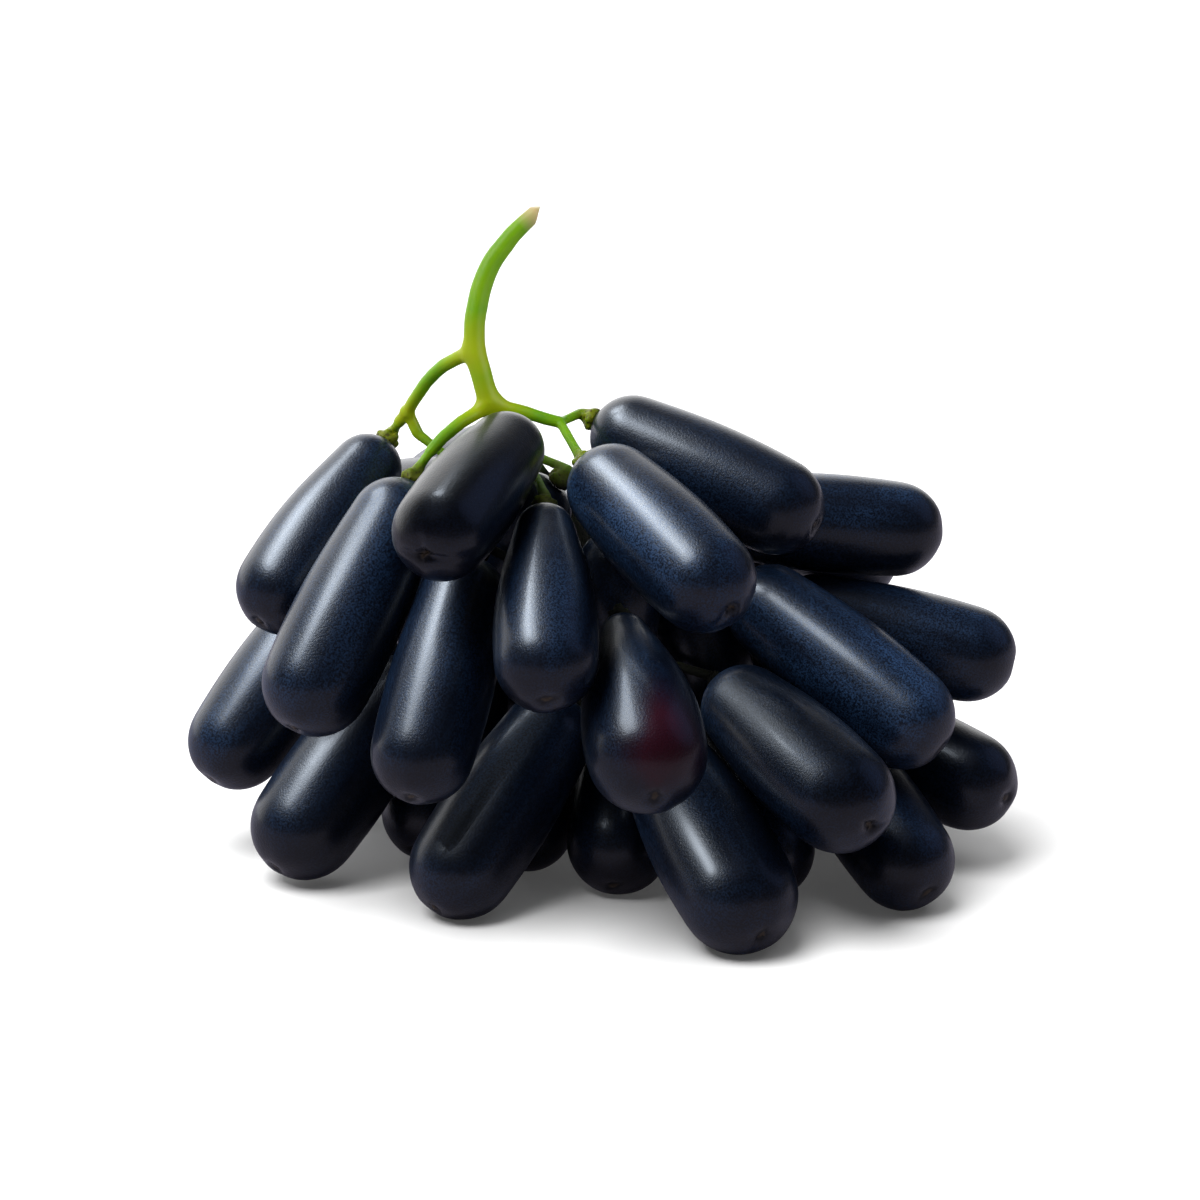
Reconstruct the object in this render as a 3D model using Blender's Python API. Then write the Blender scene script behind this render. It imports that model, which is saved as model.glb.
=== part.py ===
"""A bunch of long black grapes, heaped on a table on the tips of its lowest berries, with the cut stalk rising."""

import math

import bpy
import bmesh
import numpy as np

# Driving dimensions, in millimetres until a mesh is made

MM = 0.001
GAP = 0.3                 # between a berry and the cap of its stalk
CLEAR = 0.35              # between one berry and the next
BELLY = 0.6               # how much a berry swells between its ends
FLAT_SPOT = 0.3           # how deep the table presses into a berry that rests on it
LEAST_PRESS = 0.05        # a berry that reaches less far down than this only touches the table
SEAT_R = 2.4              # flat at a berry's stem end, where its cap sits
DIMPLE_DEEP = 0.7         # the blossom scar at the far end
BERRY_SIDES = 12
TIP_ANGLES = (26, 50, 70, 82)         # rings round the blossom end, in degrees from its widest

PEDICEL_R = 0.8           # the little stalk of one berry
PEDICEL_SWELL = 1.15      # how much wider it gets at either end
NECK_R = 1.4              # where it widens into the cap
CAP_R = 2.3               # the swollen cap at its end
CAP_LONG = 2.2
CAP_WAIST = 0.4           # the share of the cap's length at which it starts to round off
CAP_ROUND = 0.9           # how wide it still is there
NECK_LONG = 3.6
CUT_END_R = 1.35          # the stalk where it was cut off the vine
STALK_R = 1.7
RACHIS_R = 1.55
LATERAL_R = 1.25
TWIG_R = 1.0
STEM_SIDES = 8
BRANCH_SIDES = 6
TWIG_SIDES = 5
SHARP_FROM = 50           # degrees between two faces from which their edge looks sharp

SKIN_RGB = (0.028, 0.032, 0.055)
SKIN_ROUGHNESS = 0.32
STEM_RGB = (0.42, 0.56, 0.06)
STEM_ROUGHNESS = 0.45

# The slanting cut that took the bunch off the vine: a point on it and the way that it faces

CUT_AT = (-11.6, 5, 125.9)
CUT_FACING = (0.97, 0, -0.25)

# The stem's parts, each with its thickness at both ends and the points that it passes

BRANCHES = {
    "stalk": (CUT_END_R, STALK_R, [(-9.5, 5.6, 127.4), (-12, 5, 125.5), (-16.5, 4, 121.5), (-20, 3, 117),
                                   (-22.3, 2, 111.5), (-23.4, 1, 106), (-23.5, 0.5, 100.5)]),
    "collar": (STALK_R, RACHIS_R, [(-23.5, 0.5, 100.5), (-22.3, 0, 96.5), (-21.2, 0, 92), (-20.5, 0, 89.5)]),
    "rachis": (RACHIS_R, LATERAL_R, [(-20.5, 0, 89.5), (-18.2, 3.5, 84), (-12.5, 9.5, 76), (-5.5, 10.5, 66),
                                     (1, 8, 56), (7, 7, 47), (13, 9, 40), (18, 12, 34)]),
    "left_arm": (LATERAL_R, TWIG_R, [(-23.5, 0.5, 100.5), (-25.5, 2, 99.3), (-29.5, 5, 96.6), (-33, 8.5, 92.6),
                                     (-35.6, 11, 88.4), (-36.8, 12.5, 86.1), (-38.6, 14, 83.6)]),
    "left_prong": (TWIG_R, TWIG_R, [(-36.8, 12.5, 86.1), (-35.9, 12.5, 84.3), (-34.8, 12, 82)]),
    "front_left_arm": (LATERAL_R, TWIG_R, [(-20.5, 0, 89.5), (-22.5, -1, 89.2), (-25.8, -3, 87.6),
                                           (-29.3, -5, 85), (-31.6, -6.5, 82.6)]),
    "right_arm": (LATERAL_R, TWIG_R, [(-20.5, 0, 89.5), (-18.2, 0, 89.7), (-14.3, 0.5, 88.7), (-10, 1, 87.2),
                                      (-7.5, 1, 86.6)]),
    "left_lateral": (LATERAL_R, TWIG_R, [(1, 8, 56), (-3, 14, 49), (-11, 20, 42), (-21, 18, 37), (-32, 14, 38),
                                         (-41, 16, 39)]),
    "front_left_lateral": (LATERAL_R, TWIG_R, [(-5.5, 10.5, 66), (-2.5, 2, 62), (-6, -8, 56), (-11, -11, 46)]),
    "front_right_lateral": (LATERAL_R, TWIG_R, [(1, 8, 56), (6, 2, 50), (8.5, -6, 45.5), (7.5, -13, 40),
                                                (11, -13, 35)]),
    "right_lateral": (LATERAL_R, TWIG_R, [(7, 7, 47), (13, 13, 47), (22, 15, 44), (30, 13, 38), (35, 13, 31)]),
    "back_lateral": (LATERAL_R, TWIG_R, [(1, 8, 56), (3, 13, 54), (4, 19, 49), (5, 22, 41), (5, 24, 34)]),
}

# Each berry: the centre of its blossom end, the way that it points (0 forwards, 90 to the right), how steeply it
# hangs, the length between its end centres, its blossom and stem end radii, how firmly it keeps its place, its branch

BERRIES = [
    ((-59.5, -6, 56.5), -40, 37, 30, 9.0, 6.8, 8, "left_arm"),
    ((-52, -29, 44.5), -40, 51, 34, 10.0, 8.2, 8, "front_left_arm"),
    ((-28, -39, 75.2), -22, 17, 30, 9.0, 7.4, 8, "rachis"),
    ((-9.5, -48, 54), 2, 36, 30, 9.3, 5.6, 8, "rachis"),
    ((-32, -41, 34.7), -20, 49, 31, 9.4, 8.4, 8, "front_left_lateral"),
    ((-25.5, -31, 9.6), -43, 41, 30, 9.9, 8.8, 8, "front_left_lateral"),
    ((8.2, -52, 38.2), 9, 30, 28, 10.9, 5.2, 8, "front_right_lateral"),
    ((33, -8, 72), 66, 20, 31, 9.2, 8.2, 8, "right_arm"),
    ((18.4, -40, 66.7), 35, 22, 30, 9.6, 8.6, 8, "right_arm"),
    ((56.8, 14, 61.4), 100, 8, 30, 9.2, 8.4, 12, "rachis"),
    ((70.2, 3, 41.2), 83, 16, 30, 9.3, 8.4, 8, "right_lateral"),
    ((56, -20, 35.5), 60, 31, 32, 9.9, 8.6, 8, "right_lateral"),
    ((42.8, -45, 27.5), 34, 18, 30, 10.3, 8.5, 8, "front_right_lateral"),
    ((70.5, -2, 17), 50, 10, 30, 9.6, 8.8, 8, "right_lateral"),
    ((55.5, -27, 9.5), 34, 24, 30, 9.6, 8.6, 6, "right_lateral"),
    ((24.9, -48.5, 10.6), 26, 25, 29, 10.9, 9.4, 8, "front_right_lateral"),
    ((5, -19, 9.6), -2, 35, 27, 9.8, 8.6, 6, "front_right_lateral"),
    ((-55, -11, 10.2), -48, 40, 30, 10.4, 8.8, 10, "left_lateral"),
    ((-70, 5, 23), -50, 45, 30, 9.6, 8.6, 8, "left_lateral"),
    ((-34, 0, 9.2), -25, 35, 26, 9.4, 8.2, 5, "left_lateral"),
    ((-13, -5, 9.2), -8, 30, 26, 9.4, 8.2, 5, "back_lateral"),
    ((35, -18, 9.2), 28, 33, 26, 9.4, 8.2, 5, "rachis"),
    ((-31.3, 0.5, 49.3), -95, 50, 27, 9.2, 8.2, 6, "rachis"),
    ((-47, 34, 62), -150, 18, 30, 9.4, 8.0, 3, "left_prong"),
    ((-53, 36, 9.4), -85, 30, 28, 9.6, 8.4, 1, "left_lateral"),
    ((-22, 52, 9.6), -165, 35, 29, 9.8, 8.4, 1, "back_lateral"),
    ((7, 60, 9.4), 176, 30, 29, 9.6, 8.6, 1, "back_lateral"),
    ((33, 48, 9.6), 158, 42, 29, 9.8, 8.6, 3, "back_lateral"),
    ((62, 33, 9.2), 120, 25, 29, 9.4, 8.4, 1, "right_lateral"),
    ((-56, 38, 37), -120, 30, 30, 9.6, 8.6, 1, "left_lateral"),
    ((-30, 58, 34), -155, 30, 30, 9.8, 8.2, 1, "left_lateral"),
    ((2, 64, 35), 176, 28, 29, 9.6, 8.4, 1, "back_lateral"),
    ((13, 42, 29), 172, 18, 26, 9.2, 8.0, 1, "back_lateral"),
    ((30, 58, 34), 160, 28, 30, 9.4, 8.4, 1, "back_lateral"),
    ((58, 38, 30), 128, 18, 30, 9.8, 8.2, 1, "right_lateral"),
    ((-34, 50, 54), -155, 22, 28, 9.4, 8.0, 1, "left_lateral"),
    ((-13, 52, 51), -172, 8, 28, 9.4, 8.0, 1, "back_lateral"),
    ((18, 50, 54), 165, 12, 28, 9.4, 8.0, 1, "back_lateral"),
    ((43, 45, 47), 134, 12, 28, 9.4, 8.0, 1, "right_lateral"),
    ((18.5, 3, 35), 90, 78, 19, 8.8, 8.0, 2, "right_lateral"),
    ((2.5, -11, 51), 60, 68, 11, 7.6, 7.0, 1, "front_right_lateral"),
]

TIP = np.array([row[0] for row in BERRIES], float)
CORE = np.array([row[3] for row in BERRIES], float)
TIP_R = np.array([row[4] for row in BERRIES], float)
STEM_R = np.array([row[5] for row in BERRIES], float)
HOLD = np.array([row[6] for row in BERRIES], float)


def pointing(heading, droop):
    """Unit vector of a berry that points at a heading and hangs below the level by droop, both in degrees."""
    turn, dip = math.radians(heading), math.radians(droop)
    return np.array([math.sin(turn) * math.cos(dip), -math.cos(turn) * math.cos(dip), -math.sin(dip)])


def girth(share, tip_r, stem_r):
    """A berry's radius at a share of the way from its stem end centre (0) to its blossom end centre (1)."""
    return stem_r + (tip_r - stem_r) * np.sin(share * math.pi / 2) + BELLY * np.sin(share * math.pi)


def unit(vectors):
    """The same vectors at length one."""
    return vectors / np.linalg.norm(vectors, axis=-1, keepdims=True)


def smooth_curve(points, step):
    """Points at about a given step along a Catmull-Rom curve through the given ones."""
    points = np.array(points, float)
    padded = np.vstack([2 * points[0] - points[1], points, 2 * points[-1] - points[-2]])
    path = [points[0]]
    for a, b, c, d in zip(padded, padded[1:], padded[2:], padded[3:]):
        count = max(1, round(np.linalg.norm(c - b) / step))
        for k in range(1, count + 1):
            t = k / count
            path.append(0.5 * (2 * b + (c - a) * t + (2 * a - 5 * b + 4 * c - d) * t ** 2
                               + (3 * b - a - 3 * c + d) * t ** 3))
    return np.array(path)


# How the berries shoulder each other aside until none touches

ROUNDS = 400
PULL = 0.02               # how far a round draws a berry back to its place, times its hold
PULL_UNTIL = 0.75         # the share of the rounds after which they only part
SHARES = np.linspace(0, 1, 8)
CAP_ROOM = ((1.0, 2.5), (3.5, 1.5))   # past the stem end: distance, radius kept free for cap and neck
BRANCH_STEP = 4.0
BRANCH_PUSH = 0.5         # how much of its overlap with a branch a berry gives up in one round


def branch_balls():
    """Points along the stem's branches with their radii, which the berries keep clear of."""
    centres, radii = [], []
    for start_r, end_r, points in BRANCHES.values():
        path = smooth_curve(points, BRANCH_STEP)
        centres.append(path)
        radii.append(np.linspace(start_r, end_r, len(path)))
    return np.vstack(centres), np.concatenate(radii)


def berry_balls(tips, stems):
    """Balls that fill every berry, and after them the room of its cap, berry by berry."""
    body = stems[:, None] + (tips - stems)[:, None] * SHARES[None, :, None]
    outward = unit(stems - tips)
    room = [stems + outward * (STEM_R + reach)[:, None] for reach, _ in CAP_ROOM]
    return np.concatenate([body, np.stack(room, axis=1)], axis=1)


def settle():
    """Where the berries come to lie: the centres of their blossom and stem ends."""
    count, balls = len(BERRIES), len(SHARES) + len(CAP_ROOM)
    tips = TIP.copy()
    stems = TIP - np.array([pointing(row[1], row[2]) for row in BERRIES]) * CORE[:, None]
    home_tips, home_stems = tips.copy(), stems.copy()
    radius = np.concatenate([girth(SHARES[None], TIP_R[:, None], STEM_R[:, None]),
                             np.tile([r for _, r in CAP_ROOM], (count, 1))], axis=1).ravel()
    owner = np.repeat(np.arange(count), balls)
    share = np.tile(np.append(SHARES, np.zeros(len(CAP_ROOM))), count)[:, None]
    is_body = np.tile(np.arange(balls) < len(SHARES), count)
    strangers = owner[:, None] != owner[None]
    ease = (1 / HOLD)[owner]
    yields = ease[:, None] / (ease[:, None] + ease[None])
    branch, branch_r = branch_balls()

    for turn in range(ROUNDS):
        if turn < ROUNDS * PULL_UNTIL:
            tips += (home_tips - tips) * (PULL * HOLD)[:, None]
            stems += (home_stems - stems) * (PULL * HOLD)[:, None]
        centres = berry_balls(tips, stems).reshape(-1, 3)

        between = centres[:, None] - centres[None]
        apart = np.linalg.norm(between, axis=2)
        overlap = np.clip(np.where(strangers, radius[:, None] + radius[None] + CLEAR - apart, 0), 0, None)
        push = between / np.maximum(apart, 1e-6)[:, :, None] * (overlap * yields)[:, :, None]
        shift = push.sum(1) / np.maximum((overlap > 0).sum(1), 1)[:, None]

        between = centres[:, None] - branch[None]
        apart = np.linalg.norm(between, axis=2)
        overlap = np.clip(radius[:, None] + branch_r[None] + CLEAR - apart, 0, None) * is_body[:, None]
        nearest = np.argmax(overlap, axis=1)
        row = np.arange(len(centres))
        away = between[row, nearest] / np.maximum(apart[row, nearest], 1e-6)[:, None]
        shift += away * overlap[row, nearest][:, None] * BRANCH_PUSH

        np.add.at(tips, owner, shift * share)
        np.add.at(stems, owner, shift * (1 - share))
        tips[:, 2] = np.maximum(tips[:, 2], TIP_R - FLAT_SPOT)
        stems[:, 2] = np.maximum(stems[:, 2], STEM_R)
        middle = (tips + stems) / 2
        half = unit(tips - stems) * CORE[:, None] / 2
        tips, stems = middle + half, middle - half
    return tips, stems


# Meshes

def side_axes(direction):
    """Two unit vectors square to a direction and to each other."""
    helper = np.array([0.0, 0.0, 1.0]) if abs(direction[2]) < 0.9 else np.array([1.0, 0.0, 0.0])
    first = unit(np.cross(direction, helper))
    return first, np.cross(direction, first)


def mesh_from_rings(rings, first_cap, last_cap):
    """Closed bmesh through rings of points; a cap is None for a flat face or the one point that closes it."""
    mesh = bmesh.new()
    rows = [[mesh.verts.new(point) for point in ring] for ring in rings]
    sides = len(rows[0])
    for lower, upper in zip(rows, rows[1:]):
        for k in range(sides):
            n = (k + 1) % sides
            mesh.faces.new((lower[k], lower[n], upper[n], upper[k]))
    for row, cap in ((rows[0][::-1], first_cap), (rows[-1], last_cap)):
        if cap is None:
            mesh.faces.new(row)
            continue
        centre = mesh.verts.new(cap)
        for k in range(sides):
            mesh.faces.new((row[k], row[(k + 1) % sides], centre))
    bmesh.ops.recalc_face_normals(mesh, faces=mesh.faces)
    return mesh


def cut_flat(mesh, point, facing):
    """Cuts away what lies past a plane and closes the cut."""
    cut = bmesh.ops.bisect_plane(mesh, geom=mesh.verts[:] + mesh.edges[:] + mesh.faces[:],
                                 plane_co=point, plane_no=facing, clear_outer=True)
    rim = [item for item in cut["geom_cut"] if isinstance(item, bmesh.types.BMEdge)]
    bmesh.ops.edgeloop_fill(mesh, edges=rim)
    bmesh.ops.recalc_face_normals(mesh, faces=mesh.faces)


def berry_profile(core, tip_r, stem_r):
    """Distance from the stem end centre and radius of each ring of a berry, stem end first."""
    seat = math.asin(SEAT_R / stem_r)
    rings = []
    for share in (0, 0.5):
        angle = seat + (math.pi / 2 - seat) * share
        rings.append((-stem_r * math.cos(angle), stem_r * math.sin(angle)))
    for share in (0, 1 / 3, 2 / 3, 1):
        rings.append((core * share, girth(share, tip_r, stem_r)))
    for angle in map(math.radians, TIP_ANGLES):
        rings.append((core + tip_r * math.sin(angle), tip_r * math.cos(angle)))
    return rings


def berry_mesh(tip, stem, tip_r, stem_r):
    """One berry, pressed flat where it rests on the table."""
    along = unit(tip - stem)
    core = np.linalg.norm(tip - stem)
    across, up = side_axes(along)
    turns = np.arange(BERRY_SIDES) * 2 * math.pi / BERRY_SIDES
    circle = np.cos(turns)[:, None] * across + np.sin(turns)[:, None] * up
    rings = [stem + along * place + circle * radius for place, radius in berry_profile(core, tip_r, stem_r)]
    mesh = mesh_from_rings(rings, None, stem + along * (core + tip_r - DIMPLE_DEEP))
    lowest = min(v.co.z for v in mesh.verts)
    if lowest > -LEAST_PRESS:
        for vertex in mesh.verts:
            vertex.co.z = max(vertex.co.z, 0)
    else:
        cut_flat(mesh, (0, 0, 0), (0, 0, -1))
    return mesh


def tube_mesh(path, radii, sides):
    """A stem piece of changing thickness along a path, with flat ends, its section turning no more than it must."""
    tangents = unit(np.gradient(path, axis=0))
    across, _ = side_axes(tangents[0])
    turns = np.arange(sides) * 2 * math.pi / sides
    rings = []
    for centre, tangent, radius in zip(path, tangents, radii):
        across = unit(across - tangent * np.dot(across, tangent))
        up = np.cross(tangent, across)
        rings.append(centre + radius * (np.cos(turns)[:, None] * across + np.sin(turns)[:, None] * up))
    return mesh_from_rings(rings, None, None)


# The little stalks, which find their way between the berries

WAY_POINTS = 7
WAY_ROUNDS = 120
WAY_BALLS = 14            # balls that stand for a berry while the stalks look for their way
WAY_CLEAR = 0.5
OWN_CLEAR = 0.1           # the same towards the berry that the stalk carries
WAY_TAUT = 0.35           # how far a round straightens the way
WAY_HANDLE = 0.4          # how far it leaves the cap straight on, as a share of its length
BRANCH_FINE_STEP = 0.5
REACH = 7.0               # how far out of the berry the search for the nearest point of its branch starts


def caps_and_necks(tips, stems):
    """For each berry, the middle of its cap's flat face and the way out along its stalk."""
    outward = unit(stems - tips)
    seat = np.sqrt(STEM_R ** 2 - SEAT_R ** 2) + GAP
    return stems + outward * seat[:, None], outward


def pedicel_path(index, start, face, outward, balls, ball_r, owner):
    """A way from a branch to a berry's cap that is bent clear of every berry."""
    neck = face + outward * NECK_LONG
    handle = neck + outward * WAY_HANDLE * np.linalg.norm(start - neck)
    share = np.linspace(0, 1, WAY_POINTS)[:, None]
    path = (1 - share) ** 2 * start + 2 * share * (1 - share) * handle + share ** 2 * neck
    room = ball_r + PEDICEL_R + np.where(owner == index, OWN_CLEAR, WAY_CLEAR)
    for _ in range(WAY_ROUNDS):
        path[1:-1] += WAY_TAUT * ((path[:-2] + path[2:]) / 2 - path[1:-1])
        between = path[:, None] - balls[None]
        apart = np.linalg.norm(between, axis=2)
        overlap = np.clip(room[None] - apart, 0, None)
        worst = np.argmax(overlap, axis=1)
        row = np.arange(WAY_POINTS)
        push = between[row, worst] / apart[row, worst][:, None] * overlap[row, worst][:, None]
        path[1:-1] += push[1:-1]
    return path


def pedicel_mesh(path, face, outward):
    """The stalk of one berry with its swollen cap."""
    cap = [face + outward * CAP_LONG, face + outward * CAP_WAIST * CAP_LONG, face]
    swell = PEDICEL_R * PEDICEL_SWELL
    radii = [swell] + [PEDICEL_R] * (len(path) - 2) + [swell, NECK_R, CAP_ROUND * CAP_R, CAP_R]
    return tube_mesh(np.vstack([path, cap]), radii, TWIG_SIDES)


def stem_meshes(tips, stems):
    """Every piece of the stem, still separate: branches first, then one little stalk for each berry."""
    meshes, paths = [], {}
    for name, (start_r, end_r, points) in BRANCHES.items():
        paths[name] = smooth_curve(points, BRANCH_STEP)
        sides = STEM_SIDES if name in ("stalk", "collar", "rachis") else BRANCH_SIDES
        meshes.append(tube_mesh(paths[name], np.linspace(start_r, end_r, len(paths[name])), sides))
    cut_flat(meshes[0], CUT_AT, CUT_FACING)
    faces, outward = caps_and_necks(tips, stems)
    shares = np.linspace(0, 1, WAY_BALLS)
    balls = (stems[:, None] + (tips - stems)[:, None] * shares[None, :, None]).reshape(-1, 3)
    ball_r = girth(shares[None], TIP_R[:, None], STEM_R[:, None]).ravel()
    owner = np.repeat(np.arange(len(tips)), len(shares))
    for index, row in enumerate(BERRIES):
        branch = smooth_curve(BRANCHES[row[7]][2], BRANCH_FINE_STEP)
        wish = faces[index] + outward[index] * REACH
        start = branch[np.argmin(np.linalg.norm(branch - wish, axis=1))]
        path = pedicel_path(index, start, faces[index], outward[index], balls, ball_r, owner)
        meshes.append(pedicel_mesh(path, faces[index], outward[index]))
    return meshes


# Objects

def make_material(name, rgb, roughness):
    """A plain Principled material."""
    material = bpy.data.materials.new(name)
    material.use_nodes = True
    shader = material.node_tree.nodes["Principled BSDF"]
    shader.inputs["Base Color"].default_value = (*rgb, 1)
    shader.inputs["Roughness"].default_value = roughness
    shader.inputs["Metallic"].default_value = 0
    return material


def add_object(name, mesh, offset, material, collection):
    """An object from a bmesh in millimetres, moved by an offset and brought to metres."""
    for vertex in mesh.verts:
        vertex.co = [(c + o) * MM for c, o in zip(vertex.co, offset)]
    data = bpy.data.meshes.new(name)
    mesh.to_mesh(data)
    mesh.free()
    data.materials.append(material)
    data.shade_smooth()
    data.set_sharp_from_angle(angle=math.radians(SHARP_FROM))
    made = bpy.data.objects.new(name, data)
    collection.objects.link(made)
    return made


def fuse(name, meshes, offset, material):
    """One object from pieces that overlap, by one Boolean union on a collection."""
    scene = bpy.context.scene.collection
    pieces = bpy.data.collections.new(name + "_pieces")
    scene.children.link(pieces)
    whole = add_object(name, meshes[0], offset, material, scene)
    for k, mesh in enumerate(meshes[1:]):
        add_object(f"{name}_piece_{k}", mesh, offset, material, pieces)
    union = whole.modifiers.new("union", "BOOLEAN")
    union.operation = "UNION"
    union.operand_type = "COLLECTION"
    union.collection = pieces
    union.solver = "MANIFOLD"
    graph = bpy.context.evaluated_depsgraph_get()
    fused = bpy.data.meshes.new_from_object(whole.evaluated_get(graph))
    whole.modifiers.clear()
    whole.data = fused
    for piece in list(pieces.objects):
        bpy.data.objects.remove(piece)
    bpy.data.collections.remove(pieces)
    return whole


def main():
    for thing in list(bpy.data.objects):
        bpy.data.objects.remove(thing)
    tips, stems = settle()
    berries = [berry_mesh(*row) for row in zip(tips, stems, TIP_R, STEM_R)]
    twigs = stem_meshes(tips, stems)
    corners = np.array([v.co for mesh in berries + twigs for v in mesh.verts])
    middle = (corners.min(0) + corners.max(0)) / 2
    offset = (-middle[0], -middle[1], 0)
    skin = make_material("grape_skin", SKIN_RGB, SKIN_ROUGHNESS)
    green = make_material("grape_stem", STEM_RGB, STEM_ROUGHNESS)
    for number, mesh in enumerate(berries, 1):
        add_object(f"berry_{number:02d}", mesh, offset, skin, bpy.context.scene.collection)
    fuse("stem", twigs, offset, green)


main()
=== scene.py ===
"""The looks of a bunch of long black grapes: fine berries and stem, a pale table, soft light and the camera."""

import math

import bmesh
import bpy
import numpy as np
from mathutils import Matrix, Vector


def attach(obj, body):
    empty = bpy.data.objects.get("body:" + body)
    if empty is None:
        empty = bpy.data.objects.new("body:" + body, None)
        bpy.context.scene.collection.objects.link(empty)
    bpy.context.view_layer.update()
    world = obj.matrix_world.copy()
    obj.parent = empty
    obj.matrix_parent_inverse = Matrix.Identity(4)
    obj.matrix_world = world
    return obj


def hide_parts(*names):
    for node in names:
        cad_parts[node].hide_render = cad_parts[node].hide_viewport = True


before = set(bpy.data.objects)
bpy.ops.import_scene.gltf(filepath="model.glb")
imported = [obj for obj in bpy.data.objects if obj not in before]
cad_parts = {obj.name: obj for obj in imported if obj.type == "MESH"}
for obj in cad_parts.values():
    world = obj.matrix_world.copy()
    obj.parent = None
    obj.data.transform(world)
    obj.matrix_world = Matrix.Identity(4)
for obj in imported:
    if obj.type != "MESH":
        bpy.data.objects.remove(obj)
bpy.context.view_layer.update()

MM = 0.001

# The plain solid of a berry, whose rings are counted from the stalk

FAN_SIDES = 12            # corners of each ring, and edges that meet at the blossom scar
STEM_CENTRE_RING = 2
TIP_CENTRE_RING = 5
RING_STEP = 0.05 * MM     # points closer along the axis than this share a ring
FLOOR_SKIN = 0.01 * MM

# A fine berry, in millimetres until its mesh is made

SIDES = 72
SWELL = 0.6               # how much fuller a berry is between its ends
SEAT_R = 2.4
PROFILE_STEP = 0.25
PROFILE_BLEND = 1.2       # spread over which the round ends ease into the body
TIP_STEP = 0.42           # between rings on the blossom end
BODY_STEP = 0.85
TIP_REACH = 13
WAVE = 0.05               # long swellings of the skin
LOBE = 0.09               # soft lobes round the blossom scar
DIMPLE_DEEP = 0.75
DIMPLE_R = 1.7
SCAR_R = 0.6
SCAR_HIGH = 0.35
SCAR_LONG = 1.8           # how much longer than wide the scar is
SCAR_RAGGED = 0.08
FAR_MM = 99.0             # stands for a distance that no longer matters

# Marks of single berries. FROST: how dusted with bloom, from 0 to 1. CREASES: folds that run from the blossom
# scar, each with its angle from the berry's top towards its left, depth, half width and reach. BLUSH: where the
# skin is still wine red, as angles and distances from the scar with their spreads, and strength.

FROST = {"berry_03": 0.25, "berry_09": 0.9, "berry_12": 0.85, "berry_13": 0.8, "berry_11": 0.8, "berry_10": 0.7,
         "berry_02": 0.6, "berry_07": 0.5}
CREASES = {
    "berry_03": ((85, 0.6, 1.0, 5.5), (-100, 0.9, 1.1, 7.0), (5, 0.5, 0.9, 3.5)),
    "berry_09": ((150, 0.7, 0.8, 5.0), (-160, 0.8, 0.8, 4.5)),
    "berry_13": ((-90, 0.5, 0.7, 4.0), (60, 0.4, 0.7, 3.5)),
    "berry_16": ((170, 0.5, 0.8, 4.5),),
}
BLUSH = {"berry_07": ((8, 30, 6.5, 6.0, 1.1), (-8, 18, 13.5, 7.5, 1.0), (-42, 30, 10.0, 8.0, 0.8))}

# The stem, in millimetres until its mesh is made: its knuckles with their radii, and the middle of its cut

KNUCKLES = ((-23.8, -6.9, 100.4, 1.85), (-24.8, -6.4, 100.1, 1.45), (-20.9, -7.4, 90.9, 1.95),
            (-22.2, -8.0, 89.9, 1.45), (-19.6, -7.4, 90.5, 1.4), (-37.1, 5.1, 86.1, 1.4))
CUT_MIDDLE = (-11.9, -2.2, 125.7)
VOXEL = 0.33
CUT_TOP = 126.6
PLUMP = 0.25              # what the remesh and the easing take off a stalk's radius
EASE = 0.5                # share of the way to its neighbours' middle that a point goes in each round
ROUNDS = 5
TRUNK_ROUNDS = 70
TRUNK_PLUMP = 0.55        # what the trunk's longer easing takes off
TRUNK_FADES = ((2, 87, 93), (2, 123, 119), (0, -27.5, -25.5))     # axis, and where the trunk begins and is full
WARTS = 9                 # on each cap
SEAT_GAP = 0.3
PAINTED_SHADE_BELOW = 82.0        # under this height the stalks get painted shade, a dark olive, for the shade inside the bunch
PAINTED_SHADE_FULL = 75.0

# The light and the camera

TARGET = Vector((-0.000320, -0.007368, 0.0523))
CAMERA_RISE = 15
CAMERA_FAR = 0.700
PHOTO_SPAN = 0.228        # what the photograph's frame spans at the target
SENSOR = 36
LIGHT_FAR = 0.9
COOL_WHITE = "#e4effc"

# Small lights that only single berries catch: name, heading, height, strength, width and the berries

ACCENTS = (("front", -10, 54, 1.8, 18, ("berry_12",)),
           ("front_left", -45, 61, 1.2, 20, ("berry_06",)),
           ("left_front", -67, 53, 1.3, 20, ("berry_02",)),
           ("left_low", -82, 44, 2.3, 14, ("berry_16",)),
           ("left", -107, 43, 2.6, 22, ("berry_13",)),
           ("back_top", -165, 65, 0.8, 12, ("berry_03",)))

TABLE_HALF = 3.0
TABLE_TOP = -0.0001
WALL_WAY = (-0.45, 0.89, 0.0)         # the middle of the white wall, seen from the bunch
WALL_BRIGHT = 1.8
ROOM_DARK = 0.04


def srgb(code):
    """The linear colour of an sRGB hex value."""
    values = [int(code[k:k + 2], 16) / 255 for k in (1, 3, 5)]
    return (*[v / 12.92 if v <= 0.04045 else ((v + 0.055) / 1.055) ** 2.4 for v in values], 1)


def unit(vector):
    """The same vector at length one."""
    return vector / np.linalg.norm(vector)


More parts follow.
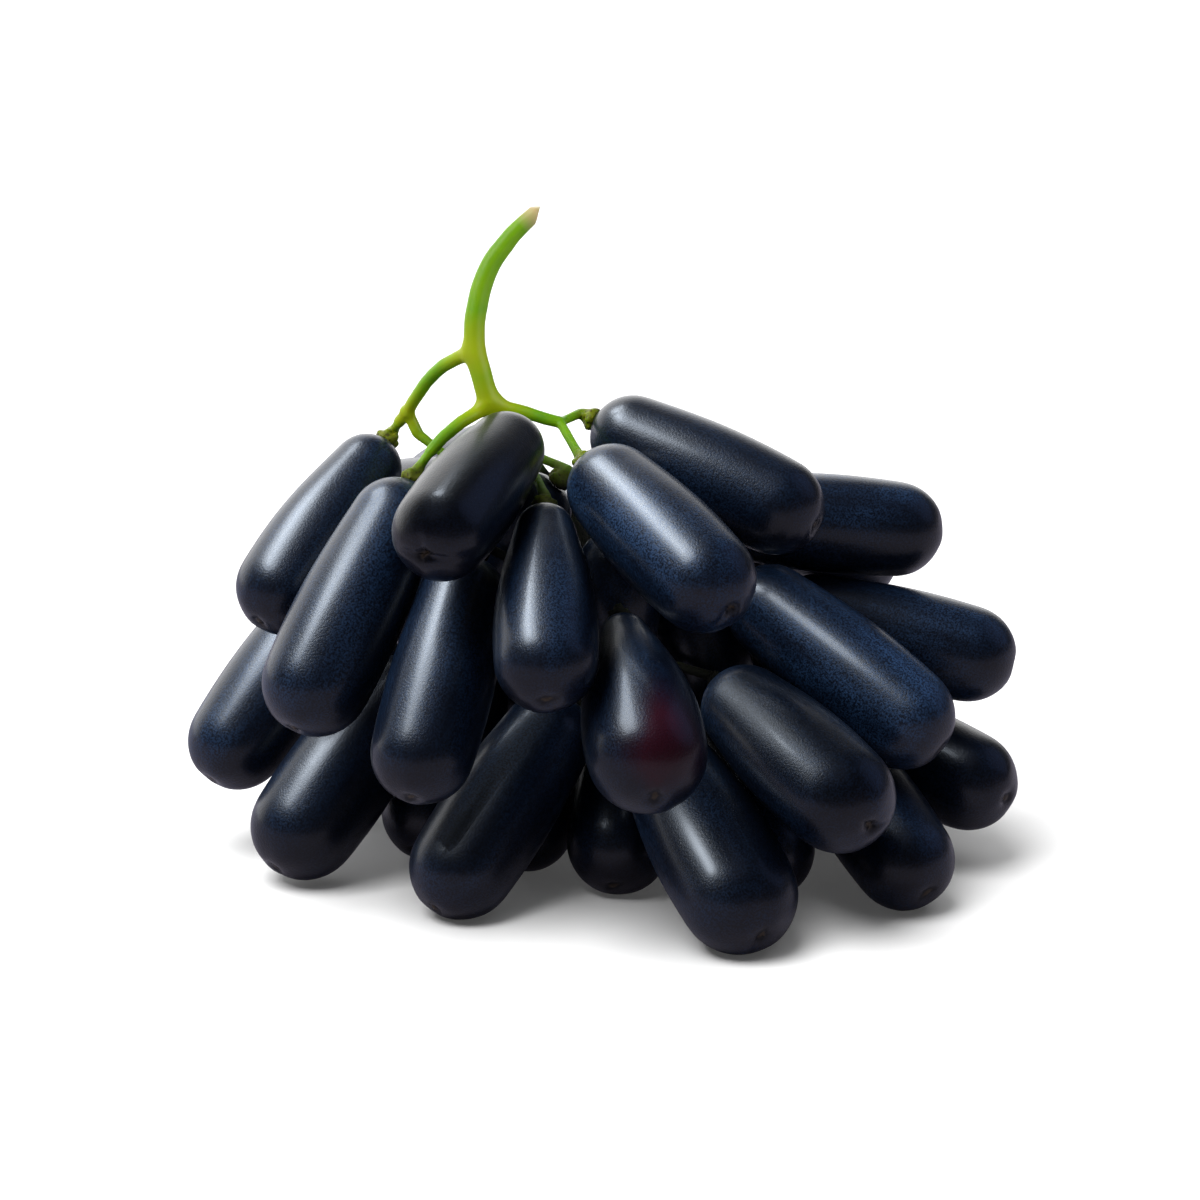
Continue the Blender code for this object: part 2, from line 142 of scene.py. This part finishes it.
def read_berry(name):
    """A berry's stem end centre, axis, core length and end radii in metres, from the rings of its plain solid."""
    solid = bmesh.new()
    solid.from_mesh(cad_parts[name].data)
    bmesh.ops.remove_doubles(solid, verts=solid.verts, dist=FLOOR_SKIN)
    points = np.array([v.co for v in solid.verts])
    fans = [v for v in solid.verts if len(v.link_edges) == FAN_SIDES]
    scar = np.array(min(fans, key=lambda v: max(e.calc_length() for e in v.link_edges)).co)
    solid.free()
    by_distance = np.argsort(np.linalg.norm(points - scar, axis=1))
    seat = points[by_distance[-FAN_SIDES:]].mean(axis=0)
    axis = unit(scar - seat)
    above_table = points[points[:, 2] > FLOOR_SKIN]
    along = (above_table - seat) @ axis
    out = np.linalg.norm(above_table - seat - np.outer(along, axis), axis=1)
    order = np.argsort(along)
    breaks = np.flatnonzero(np.diff(along[order]) > RING_STEP) + 1
    rings = [(along[ring].mean(), out[ring].mean()) for ring in np.split(order, breaks)]
    stem_at, stem_r = rings[STEM_CENTRE_RING]
    tip_at, tip_r = rings[TIP_CENTRE_RING]
    return {"stem_end": seat + axis * stem_at, "axis": axis, "seat": seat,
            "core": (tip_at - stem_at) / MM, "stem_r": stem_r / MM, "tip_r": tip_r / MM}


def berry_profile(core, stem_r, tip_r):
    """Places along the axis and radii from the seat to the blossom end, evenly spaced and smooth."""
    turn = np.linspace(math.asin(SEAT_R / stem_r), math.pi / 2, 40)
    share = np.linspace(0, 1, 60)[1:]
    rise = np.linspace(0, math.pi / 2, 60)[1:]
    body = stem_r + (tip_r - stem_r) * np.sin(share * math.pi / 2) + SWELL * np.sin(share * math.pi)
    along = np.concatenate([-stem_r * np.cos(turn), core * share, core + tip_r * np.sin(rise)])
    out = np.concatenate([stem_r * np.sin(turn), body, tip_r * np.cos(rise)])
    run = np.concatenate([[0], np.cumsum(np.hypot(np.diff(along), np.diff(out)))])
    even = np.arange(0, run[-1], PROFILE_STEP)
    line = np.stack([np.interp(even, run, along), np.interp(even, run, out)])
    reach = round(3 * PROFILE_BLEND / PROFILE_STEP)
    weights = np.exp(-0.5 * (np.arange(-reach, reach + 1) * PROFILE_STEP / PROFILE_BLEND) ** 2)
    before = 2 * line[:, :1] - line[:, reach:0:-1]
    after = line[:, -2:-reach - 2:-1] * [[1], [-1]]
    padded = np.hstack([before, line, after])
    smooth = np.array([np.convolve(row, weights / weights.sum(), "valid") for row in padded])
    smooth[1] = np.maximum(smooth[1], 0)
    return smooth, even


def berry_rings(core, stem_r, tip_r):
    """The rings of a fine berry: place along the axis, radius and distance left to the blossom end's middle."""
    (along, out), run = berry_profile(core, stem_r, tip_r)
    tip_from = run[-1] - TIP_REACH
    stops = np.concatenate([np.arange(0, tip_from, BODY_STEP), np.arange(tip_from, run[-1] - TIP_STEP / 2, TIP_STEP)])
    return np.interp(stops, run, along), np.interp(stops, run, out), run[-1] - stops


def berry_relief(turn, out, left, core, draw, creases):
    """How far the skin stands out or in at each turn round the berry and each distance from the blossom end."""
    relief = np.zeros(turn.shape)
    for fold in (1, 2, 3):
        phase, twist = draw.uniform(0, 2 * math.pi), draw.uniform(-2, 2)
        relief += WAVE / fold * np.sin(fold * turn + phase + twist * left / core)
    fade_in = 1 - np.exp(-(out / 3) ** 2)
    relief *= np.clip((left.max() - left) / 5, 0, 1) * fade_in
    lobes, phase = draw.integers(3, 5), draw.uniform(0, 2 * math.pi)
    relief += LOBE * np.cos(lobes * turn + phase) * fade_in * np.exp(-((left - 5) / 4) ** 2)
    near_tip = left < TIP_REACH
    deep = DIMPLE_DEEP * draw.uniform(0.6, 1.3)
    relief -= np.where(near_tip, deep * np.exp(-(out / DIMPLE_R) ** 2), 0)
    relief += np.where(near_tip, SCAR_HIGH * np.exp(-(out / SCAR_R) ** 4), 0)
    for angle, depth, width, reach in creases:
        away = (turn - math.radians(angle) + math.pi) % (2 * math.pi) - math.pi
        across = np.where(np.abs(away) < math.pi / 2, out * np.sin(np.abs(away)), out + 99)
        relief -= np.where(near_tip, depth * np.exp(-(across / width) ** 2) * np.exp(-(left / reach) ** 2), 0)
    return relief


def fine_berry(name, shape, number):
    """A berry's fine mesh, with what its material reads at each point: skin place, scar and bloom."""
    draw = np.random.default_rng(number)
    along, out, left = berry_rings(shape["core"], shape["stem_r"], shape["tip_r"])
    turn = np.linspace(0, 2 * math.pi, SIDES, endpoint=False)
    slope_along, slope_out = np.gradient(along), np.gradient(out)
    steep = np.hypot(slope_along, slope_out)
    turns, outs = np.meshgrid(turn, out)
    lefts = np.repeat(left[:, None], SIDES, axis=1)
    relief = berry_relief(turns, outs, lefts, shape["core"], draw, CREASES.get(name, ()))
    ring_along = along[:, None] - relief * (slope_out / steep)[:, None]
    ring_out = outs + relief * (slope_along / steep)[:, None]
    local = np.stack([ring_out * np.cos(turns), ring_out * np.sin(turns), ring_along], axis=-1).reshape(-1, 3)
    local = np.vstack([local, [0, 0, along[0] + 0.3], [0, 0, ring_along[-1].mean()]])

    axis = shape["axis"]
    top = unit(np.array([0, 0, 1]) - axis[2] * axis)
    side = np.cross(axis, top)
    world = shape["stem_end"] + local * MM @ np.array([top, side, axis])
    world[:, 2] = np.maximum(world[:, 2], 0)

    rings = len(along)
    grid = np.arange(rings * SIDES).reshape(rings, SIDES)
    after = np.roll(grid, -1, axis=1)
    faces = [quad for row in zip(grid[:-1], after[:-1], after[1:], grid[1:]) for quad in zip(*map(list, row))]
    faces += [(rings * SIDES, b, a) for a, b in zip(grid[0].tolist(), after[0].tolist())]
    faces += [(rings * SIDES + 1, a, b) for a, b in zip(grid[-1].tolist(), after[-1].tolist())]
    mesh = bpy.data.meshes.new(name)
    mesh.from_pydata(world.tolist(), [], faces)
    mesh.polygons.foreach_set("use_smooth", [True] * len(mesh.polygons))

    store(mesh, "skin_place", "FLOAT_VECTOR", local * MM + draw.uniform(-1, 1, 3))
    frost = FROST.get(name, draw.uniform(0.3, 0.65))
    store(mesh, "frost", "FLOAT", np.full(len(local), frost))
    lean = draw.uniform(0, math.pi)
    ragged = 1 + SCAR_RAGGED * np.sin(3 * turns + lean) + SCAR_RAGGED * np.sin(5 * turns + 2 * lean)
    scar = outs * ragged * np.hypot(np.cos(turns - lean) / SCAR_LONG, np.sin(turns - lean))
    scar = np.where(lefts < TIP_REACH, scar, FAR_MM)
    store(mesh, "scar_mm", "FLOAT", np.append(scar, (FAR_MM, 0)))
    store(mesh, "to_blossom_mm", "FLOAT", np.append(lefts, (left[0], 0)))
    blush = np.zeros(turns.shape)
    for angle, spread, place, reach, strength in BLUSH.get(name, ()):
        away = (np.degrees(turns) - angle + 180) % 360 - 180
        blush += strength * np.exp(-(away / spread) ** 2 - ((lefts - place) / reach) ** 2)
    store(mesh, "blush", "FLOAT", np.append(blush, (0, 0)))
    return mesh


def store(mesh, name, kind, values):
    """Keeps one value for each point of a mesh under a name that a material reads."""
    attribute = mesh.attributes.new(name, kind, "POINT")
    attribute.data.foreach_set("vector" if kind == "FLOAT_VECTOR" else "value",
                               np.ascontiguousarray(values, np.float32).ravel())


def add_node(tree, kind, sockets=None, **settings):
    """A node with its settings, each input either given a value or linked to an output."""
    node = tree.nodes.new(kind)
    for name, value in settings.items():
        setattr(node, name, value)
    for name, value in (sockets or {}).items():
        if isinstance(value, bpy.types.NodeSocket):
            tree.links.new(value, node.inputs[name])
        else:
            node.inputs[name].default_value = value
    return node


def new_material(name, **sockets):
    """A material with its tree and its surface shader, whose named sockets are set."""
    material = bpy.data.materials.new(name)
    material.use_nodes = True
    tree = material.node_tree
    shader = tree.nodes["Principled BSDF"]
    for socket, value in sockets.items():
        shader.inputs[socket.replace("_", " ")].default_value = value
    return material, tree, shader


def grape_skin_material():
    """Grape skin: a dark, waxy cuticle with a satin gloss, under a thin dust of wax that scatters blue, with a
    painted reflection of the table towards the blossom end.
    """
    material, tree, shader = new_material("grape_skin_wax_bloom", IOR=1.32, Coat_Weight=0.55, Coat_Roughness=0.23,
                                          Coat_IOR=1.4)
    place = add_node(tree, "ShaderNodeAttribute", attribute_name="skin_place").outputs["Vector"]
    frost = add_node(tree, "ShaderNodeAttribute", attribute_name="frost").outputs["Fac"]
    blush = add_node(tree, "ShaderNodeAttribute", attribute_name="blush").outputs["Fac"]
    scar = add_node(tree, "ShaderNodeAttribute", attribute_name="scar_mm").outputs["Fac"]
    to_blossom = add_node(tree, "ShaderNodeAttribute", attribute_name="to_blossom_mm").outputs["Fac"]

    # Dust lies in patches a centimetre wide, wiped into lengthwise streaks, and is made of fine specks
    long_patch = add_node(tree, "ShaderNodeVectorMath", {0: place, 1: (1, 1, 0.4)}, operation="MULTIPLY")
    long_streak = add_node(tree, "ShaderNodeVectorMath", {0: place, 1: (1, 1, 0.13)}, operation="MULTIPLY")
    patches = add_node(tree, "ShaderNodeTexNoise", {"Vector": long_patch.outputs[0], "Scale": 1 / (9 * MM),
                                                    "Detail": 3.0})
    streaks = add_node(tree, "ShaderNodeTexNoise", {"Vector": long_streak.outputs[0], "Scale": 1 / (2.2 * MM),
                                                    "Detail": 4.0, "Roughness": 0.6})
    grain = add_node(tree, "ShaderNodeTexNoise", {"Vector": place, "Scale": 1 / (0.36 * MM), "Detail": 3.0})
    patch = add_node(tree, "ShaderNodeMapRange", {"Value": patches.outputs["Fac"], "From Min": 0.38,
                                                  "From Max": 0.68, "To Min": 0.22, "To Max": 0.9},
                     interpolation_type="SMOOTHSTEP")
    streak = add_node(tree, "ShaderNodeMapRange", {"Value": streaks.outputs["Fac"], "From Min": 0.4,
                                                   "From Max": 0.75, "To Max": 0.35})
    speck = add_node(tree, "ShaderNodeMapRange", {"Value": grain.outputs["Fac"], "From Min": 0.4,
                                                  "From Max": 0.6, "To Min": 0.1, "To Max": 1.3})
    dust = add_node(tree, "ShaderNodeMath", {0: patch.outputs[0], 1: streak.outputs[0]}, operation="ADD")
    dusty = add_node(tree, "ShaderNodeMath", {0: dust.outputs[0], 1: speck.outputs[0]}, operation="MULTIPLY")
    dustiest = add_node(tree, "ShaderNodeMath", {0: dusty.outputs[0], 1: frost}, operation="MULTIPLY")
    wiped = add_node(tree, "ShaderNodeMapRange", {"Value": blush, "To Min": 1.0, "To Max": 0.15})
    bloom = add_node(tree, "ShaderNodeMath", {0: dustiest.outputs[0], 1: wiped.outputs[0]}, operation="MULTIPLY",
                     use_clamp=True)

    # The skin itself: blue-black, with a painted reflection of the pale table as a plum-grey tint towards the blossom
    # end, wine red where it ripened last
    painted_tip_reflection = add_node(tree, "ShaderNodeMapRange", {"Value": to_blossom, "From Min": 11.0, "From Max": 3.0,
                                                   "To Max": 0.8}, interpolation_type="SMOOTHSTEP")
    dark = add_node(tree, "ShaderNodeMix", {"Factor": painted_tip_reflection.outputs[0], "A": srgb("#040711"),
                                            "B": srgb("#110d15")}, data_type="RGBA")
    red = add_node(tree, "ShaderNodeMix", {"Factor": blush, "A": dark.outputs["Result"], "B": srgb("#320614")},
                   data_type="RGBA")
    dusted = add_node(tree, "ShaderNodeMix", {"Factor": bloom.outputs[0], "A": red.outputs["Result"],
                                              "B": srgb("#1e344e")}, data_type="RGBA")

    # The blossom scar: a corky spot in a dry, dark ring
    ring = add_node(tree, "ShaderNodeMapRange", {"Value": scar, "From Min": 1.9, "From Max": 0.7, "To Max": 0.85},
                    interpolation_type="SMOOTHSTEP")
    cork = add_node(tree, "ShaderNodeMapRange", {"Value": scar, "From Min": 0.8, "From Max": 0.3, "To Max": 0.8},
                    interpolation_type="SMOOTHSTEP")
    ringed = add_node(tree, "ShaderNodeMix", {"Factor": ring.outputs[0], "A": dusted.outputs["Result"],
                                              "B": srgb("#08070a")}, data_type="RGBA")
    corked = add_node(tree, "ShaderNodeMix", {"Factor": cork.outputs[0], "A": ringed.outputs["Result"],
                                              "B": srgb("#453720")}, data_type="RGBA")
    rough = add_node(tree, "ShaderNodeMapRange", {"Value": bloom.outputs[0], "To Min": 0.34, "To Max": 0.5})
    rougher = add_node(tree, "ShaderNodeMath", {0: rough.outputs[0], 1: ring.outputs[0]}, operation="MAXIMUM")
    dents = add_node(tree, "ShaderNodeTexNoise", {"Vector": place, "Scale": 1 / (4 * MM), "Detail": 1.0})
    dented = add_node(tree, "ShaderNodeBump", {"Height": dents.outputs["Fac"], "Distance": 0.12 * MM,
                                               "Strength": 0.4})
    bump = add_node(tree, "ShaderNodeBump", {"Height": grain.outputs["Fac"], "Distance": 0.09 * MM,
                                             "Strength": 0.8, "Normal": dented.outputs[0]})
    tree.links.new(corked.outputs["Result"], shader.inputs["Base Color"])
    tree.links.new(rougher.outputs[0], shader.inputs["Roughness"])
    tree.links.new(bump.outputs[0], shader.inputs["Normal"])
    return material


def stem_body(berries):
    """The plain stem with knuckles at its forks and warts round its caps, one body laid over another."""
    draw = np.random.default_rng(7)
    body = bmesh.new()
    body.from_mesh(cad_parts["stem"].data)
    bmesh.ops.remove_doubles(body, verts=body.verts, dist=FLOOR_SKIN)
    lumps = [(Vector(knuckle[:3]) * MM, knuckle[3]) for knuckle in KNUCKLES]
    for shape in berries:
        axis, seat = shape["axis"], shape["seat"]
        across = unit(np.cross(axis, (0.3, 0.5, 0.8)))
        up = np.cross(axis, across)
        for k in range(WARTS):
            turn = 2 * math.pi * (k + draw.uniform(-0.3, 0.3)) / WARTS
            out, size = draw.uniform(1.5, 2.1), draw.uniform(0.45, 0.75)
            back = SEAT_GAP + size + draw.uniform(0, 1.0)
            place = out * (math.cos(turn) * across + math.sin(turn) * up) - back * axis
            lumps.append((Vector(seat + place * MM), size))
    for place, size in lumps:
        bmesh.ops.create_icosphere(body, subdivisions=2, radius=size * MM, matrix=Matrix.Translation(place))
    mesh = bpy.data.meshes.new("stem_body")
    body.to_mesh(mesh)
    body.free()
    return mesh


def relaxed(points, edges, shares, rounds):
    """The points after each has gone a share of the way to the middle of its neighbours, time and again."""
    start, end = np.concatenate([edges, edges[:, ::-1]]).T
    neighbours = np.bincount(start, minlength=len(points))
    for _ in range(rounds):
        sums = np.stack([np.bincount(start, points[end, k], len(points)) for k in range(3)], axis=1)
        points = points + (sums / neighbours[:, None] - points) * shares[:, None]
    return points


def fine_stem(berries):
    """The stem's fine mesh: its body remeshed and eased round, with what its material reads at each point."""
    mesh = stem_body(berries)
    piece = bpy.data.objects.new("stem_body", mesh)
    bpy.context.scene.collection.objects.link(piece)
    remesh = piece.modifiers.new("remesh", "REMESH")
    remesh.mode = "VOXEL"
    remesh.voxel_size = VOXEL * MM
    fine = bpy.data.meshes.new_from_object(piece.evaluated_get(bpy.context.evaluated_depsgraph_get()))
    bpy.data.objects.remove(piece)
    bpy.data.meshes.remove(mesh)
    points, edges = np.empty(len(fine.vertices) * 3), np.empty(len(fine.edges) * 2, int)
    fine.vertices.foreach_get("co", points)
    fine.edges.foreach_get("vertices", edges)
    points, edges = points.reshape(-1, 3) / MM, edges.reshape(-1, 2)
    trunk = np.ones(len(points))
    for axis, low, high in TRUNK_FADES:
        trunk *= np.clip((points[:, axis] - low) / (high - low), 0, 1)
    points = relaxed(points, edges, np.full(len(points), EASE), ROUNDS)
    points = relaxed(points, edges, EASE * trunk, TRUNK_ROUNDS)
    fine.vertices.foreach_set("co", points.ravel() * MM)
    fine.update()
    normals = np.empty(len(points) * 3)
    fine.vertices.foreach_get("normal", normals)
    points += normals.reshape(-1, 3) * (PLUMP + TRUNK_PLUMP * trunk)[:, None]
    points[:, 2] = np.minimum(points[:, 2], CUT_TOP)
    fine.vertices.foreach_set("co", points.ravel() * MM)

    for name, places in (("from_cap_mm", [shape["seat"] / MM for shape in berries]),
                         ("from_knuckle_mm", [knuckle[:3] for knuckle in KNUCKLES]), ("from_cut_mm", [CUT_MIDDLE])):
        nearest = np.min([np.linalg.norm(points - place, axis=1) for place in places], axis=0)
        store(fine, name, "FLOAT", nearest)
    fine.polygons.foreach_set("use_smooth", [True] * len(fine.polygons))
    return fine


def stem_material():
    """Green grape stalk: living plant skin, softly glossy, yellow at its knuckles, corky at its caps and cut, with
    painted shade on the stalks low inside the bunch.
    """
    material, tree, shader = new_material("green_stalk_skin", IOR=1.4, Subsurface_Weight=0.5,
                                          Subsurface_Scale=2 * MM, Subsurface_Radius=(0.6, 1.0, 0.3))
    place = add_node(tree, "ShaderNodeTexCoord").outputs["Object"]
    from_cap = add_node(tree, "ShaderNodeAttribute", attribute_name="from_cap_mm").outputs["Fac"]
    from_knuckle = add_node(tree, "ShaderNodeAttribute", attribute_name="from_knuckle_mm").outputs["Fac"]
    from_cut = add_node(tree, "ShaderNodeAttribute", attribute_name="from_cut_mm").outputs["Fac"]
    tint = add_node(tree, "ShaderNodeTexNoise", {"Vector": place, "Scale": 1 / (6 * MM), "Detail": 2.0})
    spots = add_node(tree, "ShaderNodeTexNoise", {"Vector": place, "Scale": 1 / (0.7 * MM), "Detail": 2.0})
    green = add_node(tree, "ShaderNodeMix", {"Factor": tint.outputs["Fac"], "A": srgb("#5aa404"),
                                             "B": srgb("#9cc604")}, data_type="RGBA")
    at_knuckle = add_node(tree, "ShaderNodeMapRange", {"Value": from_knuckle, "From Min": 8.0, "From Max": 2.0,
                                                       "To Max": 0.7})
    yellow = add_node(tree, "ShaderNodeMix", {"Factor": at_knuckle.outputs[0], "A": green.outputs["Result"],
                                              "B": srgb("#c4cc0c")}, data_type="RGBA")
    at_cap = add_node(tree, "ShaderNodeMapRange", {"Value": from_cap, "From Min": 5.0, "From Max": 2.4,
                                                   "To Max": 0.8})
    olive = add_node(tree, "ShaderNodeMix", {"Factor": at_cap.outputs[0], "A": yellow.outputs["Result"],
                                             "B": srgb("#93921a")}, data_type="RGBA")
    height = add_node(tree, "ShaderNodeSeparateXYZ", {0: place}).outputs["Z"]
    # Painted shade: low in the bunch the stalks are darkened and made rougher, for the shade that falls there
    painted_shade = add_node(tree, "ShaderNodeMapRange", {"Value": height, "From Min": PAINTED_SHADE_BELOW * MM,
                                                   "From Max": PAINTED_SHADE_FULL * MM})
    spotty = add_node(tree, "ShaderNodeMapRange", {"Value": spots.outputs["Fac"], "From Min": 0.52,
                                                   "From Max": 0.66})
    brown_at = add_node(tree, "ShaderNodeMath", {0: spotty.outputs[0], 1: at_cap.outputs[0]}, operation="MULTIPLY")
    brown = add_node(tree, "ShaderNodeMix", {"Factor": brown_at.outputs[0], "A": olive.outputs["Result"],
                                             "B": srgb("#4d3a14")}, data_type="RGBA")
    at_cut = add_node(tree, "ShaderNodeMapRange", {"Value": from_cut, "From Min": 4.6, "From Max": 1.6})
    tan = add_node(tree, "ShaderNodeMix", {"Factor": at_cut.outputs[0], "A": brown.outputs["Result"],
                                           "B": srgb("#dcc68c")}, data_type="RGBA")
    bump = add_node(tree, "ShaderNodeBump", {"Height": spots.outputs["Fac"], "Distance": 0.06 * MM,
                                             "Strength": 0.5})
    # Painted shade: the low stalks are mixed towards near-black olive
    painted_shade_colour = add_node(tree, "ShaderNodeMix", {"Factor": painted_shade.outputs[0], "A": tan.outputs["Result"],
                                            "B": srgb("#15180a")}, data_type="RGBA")
    rough = add_node(tree, "ShaderNodeMapRange", {"Value": painted_shade.outputs[0], "To Min": 0.42, "To Max": 0.85})
    tree.links.new(rough.outputs[0], shader.inputs["Roughness"])
    tree.links.new(painted_shade_colour.outputs["Result"], shader.inputs["Base Color"])
    tree.links.new(bump.outputs[0], shader.inputs["Normal"])
    return material


def add_piece(name, mesh, material, node):
    """One shown piece, which stands for its plain solid."""
    mesh.materials.clear()
    mesh.materials.append(material)
    piece = bpy.data.objects.new(name, mesh)
    bpy.context.scene.collection.objects.link(piece)
    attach(piece, "root")
    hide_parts(node)
    return piece


def add_camera():
    """The camera, at the photograph's height and distance."""
    data = bpy.data.cameras.new("camera")
    data.sensor_width = SENSOR
    data.lens = SENSOR * CAMERA_FAR / PHOTO_SPAN
    data.clip_start = 0.01
    camera = bpy.data.objects.new("camera", data)
    rise = math.radians(CAMERA_RISE)
    camera.location = TARGET + Vector((0, -math.cos(rise), math.sin(rise))) * CAMERA_FAR
    camera.rotation_euler = (math.pi / 2 - rise, 0, 0)
    bpy.context.scene.collection.objects.link(camera)
    bpy.context.scene.camera = camera


def add_light(name, heading, rise, strength, receivers, angle=None, panel=None, tint="#ffffff", shadow=True):
    """A soft light from a heading (0 is the camera's side, 90 the right) and a height: a distant disc or a panel."""
    data = bpy.data.lights.new(name, "SUN" if panel is None else "AREA")
    if panel is None:
        data.angle = math.radians(angle)
    else:
        data.shape = "RECTANGLE"
        data.size, data.size_y = panel
    data.energy = strength
    data.use_shadow = shadow
    data.color = srgb(tint)[:3]
    light = bpy.data.objects.new(name, data)
    turn, lift = math.radians(heading), math.radians(rise)
    way = Vector((math.sin(turn) * math.cos(lift), -math.cos(turn) * math.cos(lift), math.sin(lift)))
    light.location = TARGET + way * LIGHT_FAR
    light.rotation_euler = way.to_track_quat("Z", "Y").to_euler()
    light.visible_camera = False
    light.light_linking.receiver_collection = receivers
    bpy.context.scene.collection.objects.link(light)


def add_table():
    """The plain white surface under the bunch, which throws back less light than it shows."""
    material, tree, shader = new_material("white_matt_card", Roughness=0.9, Specular_IOR_Level=0.0)
    seen = add_node(tree, "ShaderNodeLightPath").outputs["Is Camera Ray"]
    white = add_node(tree, "ShaderNodeMix", {"Factor": seen, "A": srgb("#86828f"), "B": srgb("#f2f2f2")},
                     data_type="RGBA")
    tree.links.new(white.outputs["Result"], shader.inputs["Base Color"])
    mesh = bpy.data.meshes.new("table")
    corners = [(x * TABLE_HALF, y * TABLE_HALF, TABLE_TOP) for x, y in ((-1, -1), (1, -1), (1, 1), (-1, 1))]
    mesh.from_pydata(corners, [], [(0, 1, 2, 3)])
    mesh.materials.append(material)
    table = bpy.data.objects.new("table", mesh)
    bpy.context.scene.collection.objects.link(table)
    return table


def lit_by(name, things, state="INCLUDE"):
    """A collection that makes a light shine on nothing but the given things, or on all but them."""
    group = bpy.data.collections.new(name)
    for thing in things:
        group.objects.link(thing)
    for entry in group.collection_objects:
        entry.light_linking.link_state = state
    return group


def add_studio():
    """The studio round the table: dark where the camera stands, with a white wall behind and to the left."""
    world = bpy.data.worlds.new("studio")
    world.use_nodes = True
    tree = world.node_tree
    ways = add_node(tree, "ShaderNodeTexCoord").outputs["Generated"]
    facing = add_node(tree, "ShaderNodeVectorMath", {0: ways, 1: WALL_WAY}, operation="DOT_PRODUCT")
    wall = add_node(tree, "ShaderNodeMapRange", {"Value": facing.outputs["Value"], "From Min": 0.45,
                                                 "From Max": 0.85, "To Min": ROOM_DARK, "To Max": WALL_BRIGHT},
                    interpolation_type="SMOOTHSTEP")
    seen = add_node(tree, "ShaderNodeLightPath").outputs["Is Camera Ray"]
    strength = add_node(tree, "ShaderNodeMix", {"Factor": seen, "A": wall.outputs[0], "B": 1.0}, data_type="FLOAT")
    tree.links.new(strength.outputs["Result"], tree.nodes["Background"].inputs["Strength"])
    tree.nodes["Background"].inputs["Color"].default_value = srgb("#ffffff")
    bpy.context.scene.world = world


skin = grape_skin_material()
berries = {name: read_berry(name) for name in sorted(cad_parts) if name.startswith("berry")}
shown = {}
for number, (node, shape) in enumerate(berries.items()):
    shown[node] = add_piece(node + "_fine", fine_berry(node, shape, number), skin, node)
shown["stem"] = add_piece("stem_fine", fine_stem(list(berries.values())), stem_material(), "stem")

add_camera()
table = add_table()
bunch_only = lit_by("all_but_table", [table], "EXCLUDE")
table_only = lit_by("table_only", [table])
accented = [shown[node] for node in ("berry_03", "berry_13", "berry_16", "berry_22")]
berries_only = lit_by("berries_lit", [table, shown["stem"], *accented], "EXCLUDE")
bunch_body = lit_by("core_lit", [table, shown["stem"], shown["berry_02"], shown["berry_07"], *accented], "EXCLUDE")
add_light("key", -92, 60, 16, berries_only, panel=(0.9, 0.38), tint=COOL_WHITE)
add_light("key_core", -95, 59, 4, bunch_body, panel=(0.5, 0.15), tint=COOL_WHITE)
add_light("soft_top", -30, 68, 0.12, bunch_only, angle=50, tint="#c8d6ff")
add_light("stem_left", -65, 40, 2.3, lit_by("stem_left_lit", [shown["stem"]]), angle=50)
add_light("stem_right", 60, 20, 1.4, lit_by("stem_right_lit", [shown["stem"]]), angle=50)
add_light("cool_side", 100, 35, 0.2, bunch_only, angle=50, tint="#9fb8ff")
for name, heading, rise, strength, angle, nodes in ACCENTS:
    add_light(name, heading, rise, strength, lit_by(name + "_lit", [shown[node] for node in nodes]),
              angle=angle, tint=COOL_WHITE, shadow=False)
add_light("overhead", -45, 64, 3.5, table_only, angle=40)
add_light("table_fill", 0, 90, 1.5, table_only, angle=90, shadow=False)
add_studio()
bpy.context.scene.view_settings.view_transform = "Standard"
